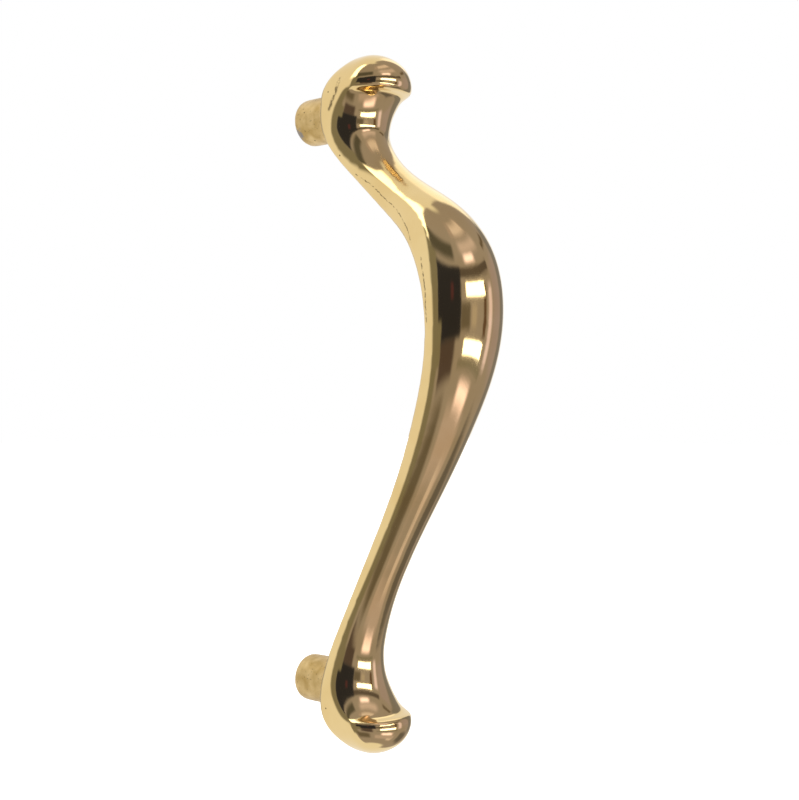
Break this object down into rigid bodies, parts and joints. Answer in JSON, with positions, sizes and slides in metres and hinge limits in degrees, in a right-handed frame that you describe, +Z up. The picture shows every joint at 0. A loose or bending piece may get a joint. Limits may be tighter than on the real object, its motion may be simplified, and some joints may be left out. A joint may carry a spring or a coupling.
{
  "type": "cabinet handle",
  "caption": "Bowed cabinet handle with an arched front, a slender tail and a raised nose at each end, cast with screw posts behind its feet.",
  "frame": {"origin": "midway between the two screw holes, on the plane of the cabinet door that the post ends meet", "axes": "+Z up the handle's length to its bowed end, -Y out of the door to the front, X across the handle"},
  "size_m": [0.0121, 0.0321, 0.0919],
  "materials": {
    "polished_brass": "polished"
  },
  "bodies": {
    "root": {"handle": "polished_brass"}
  },
  "joints": []
}
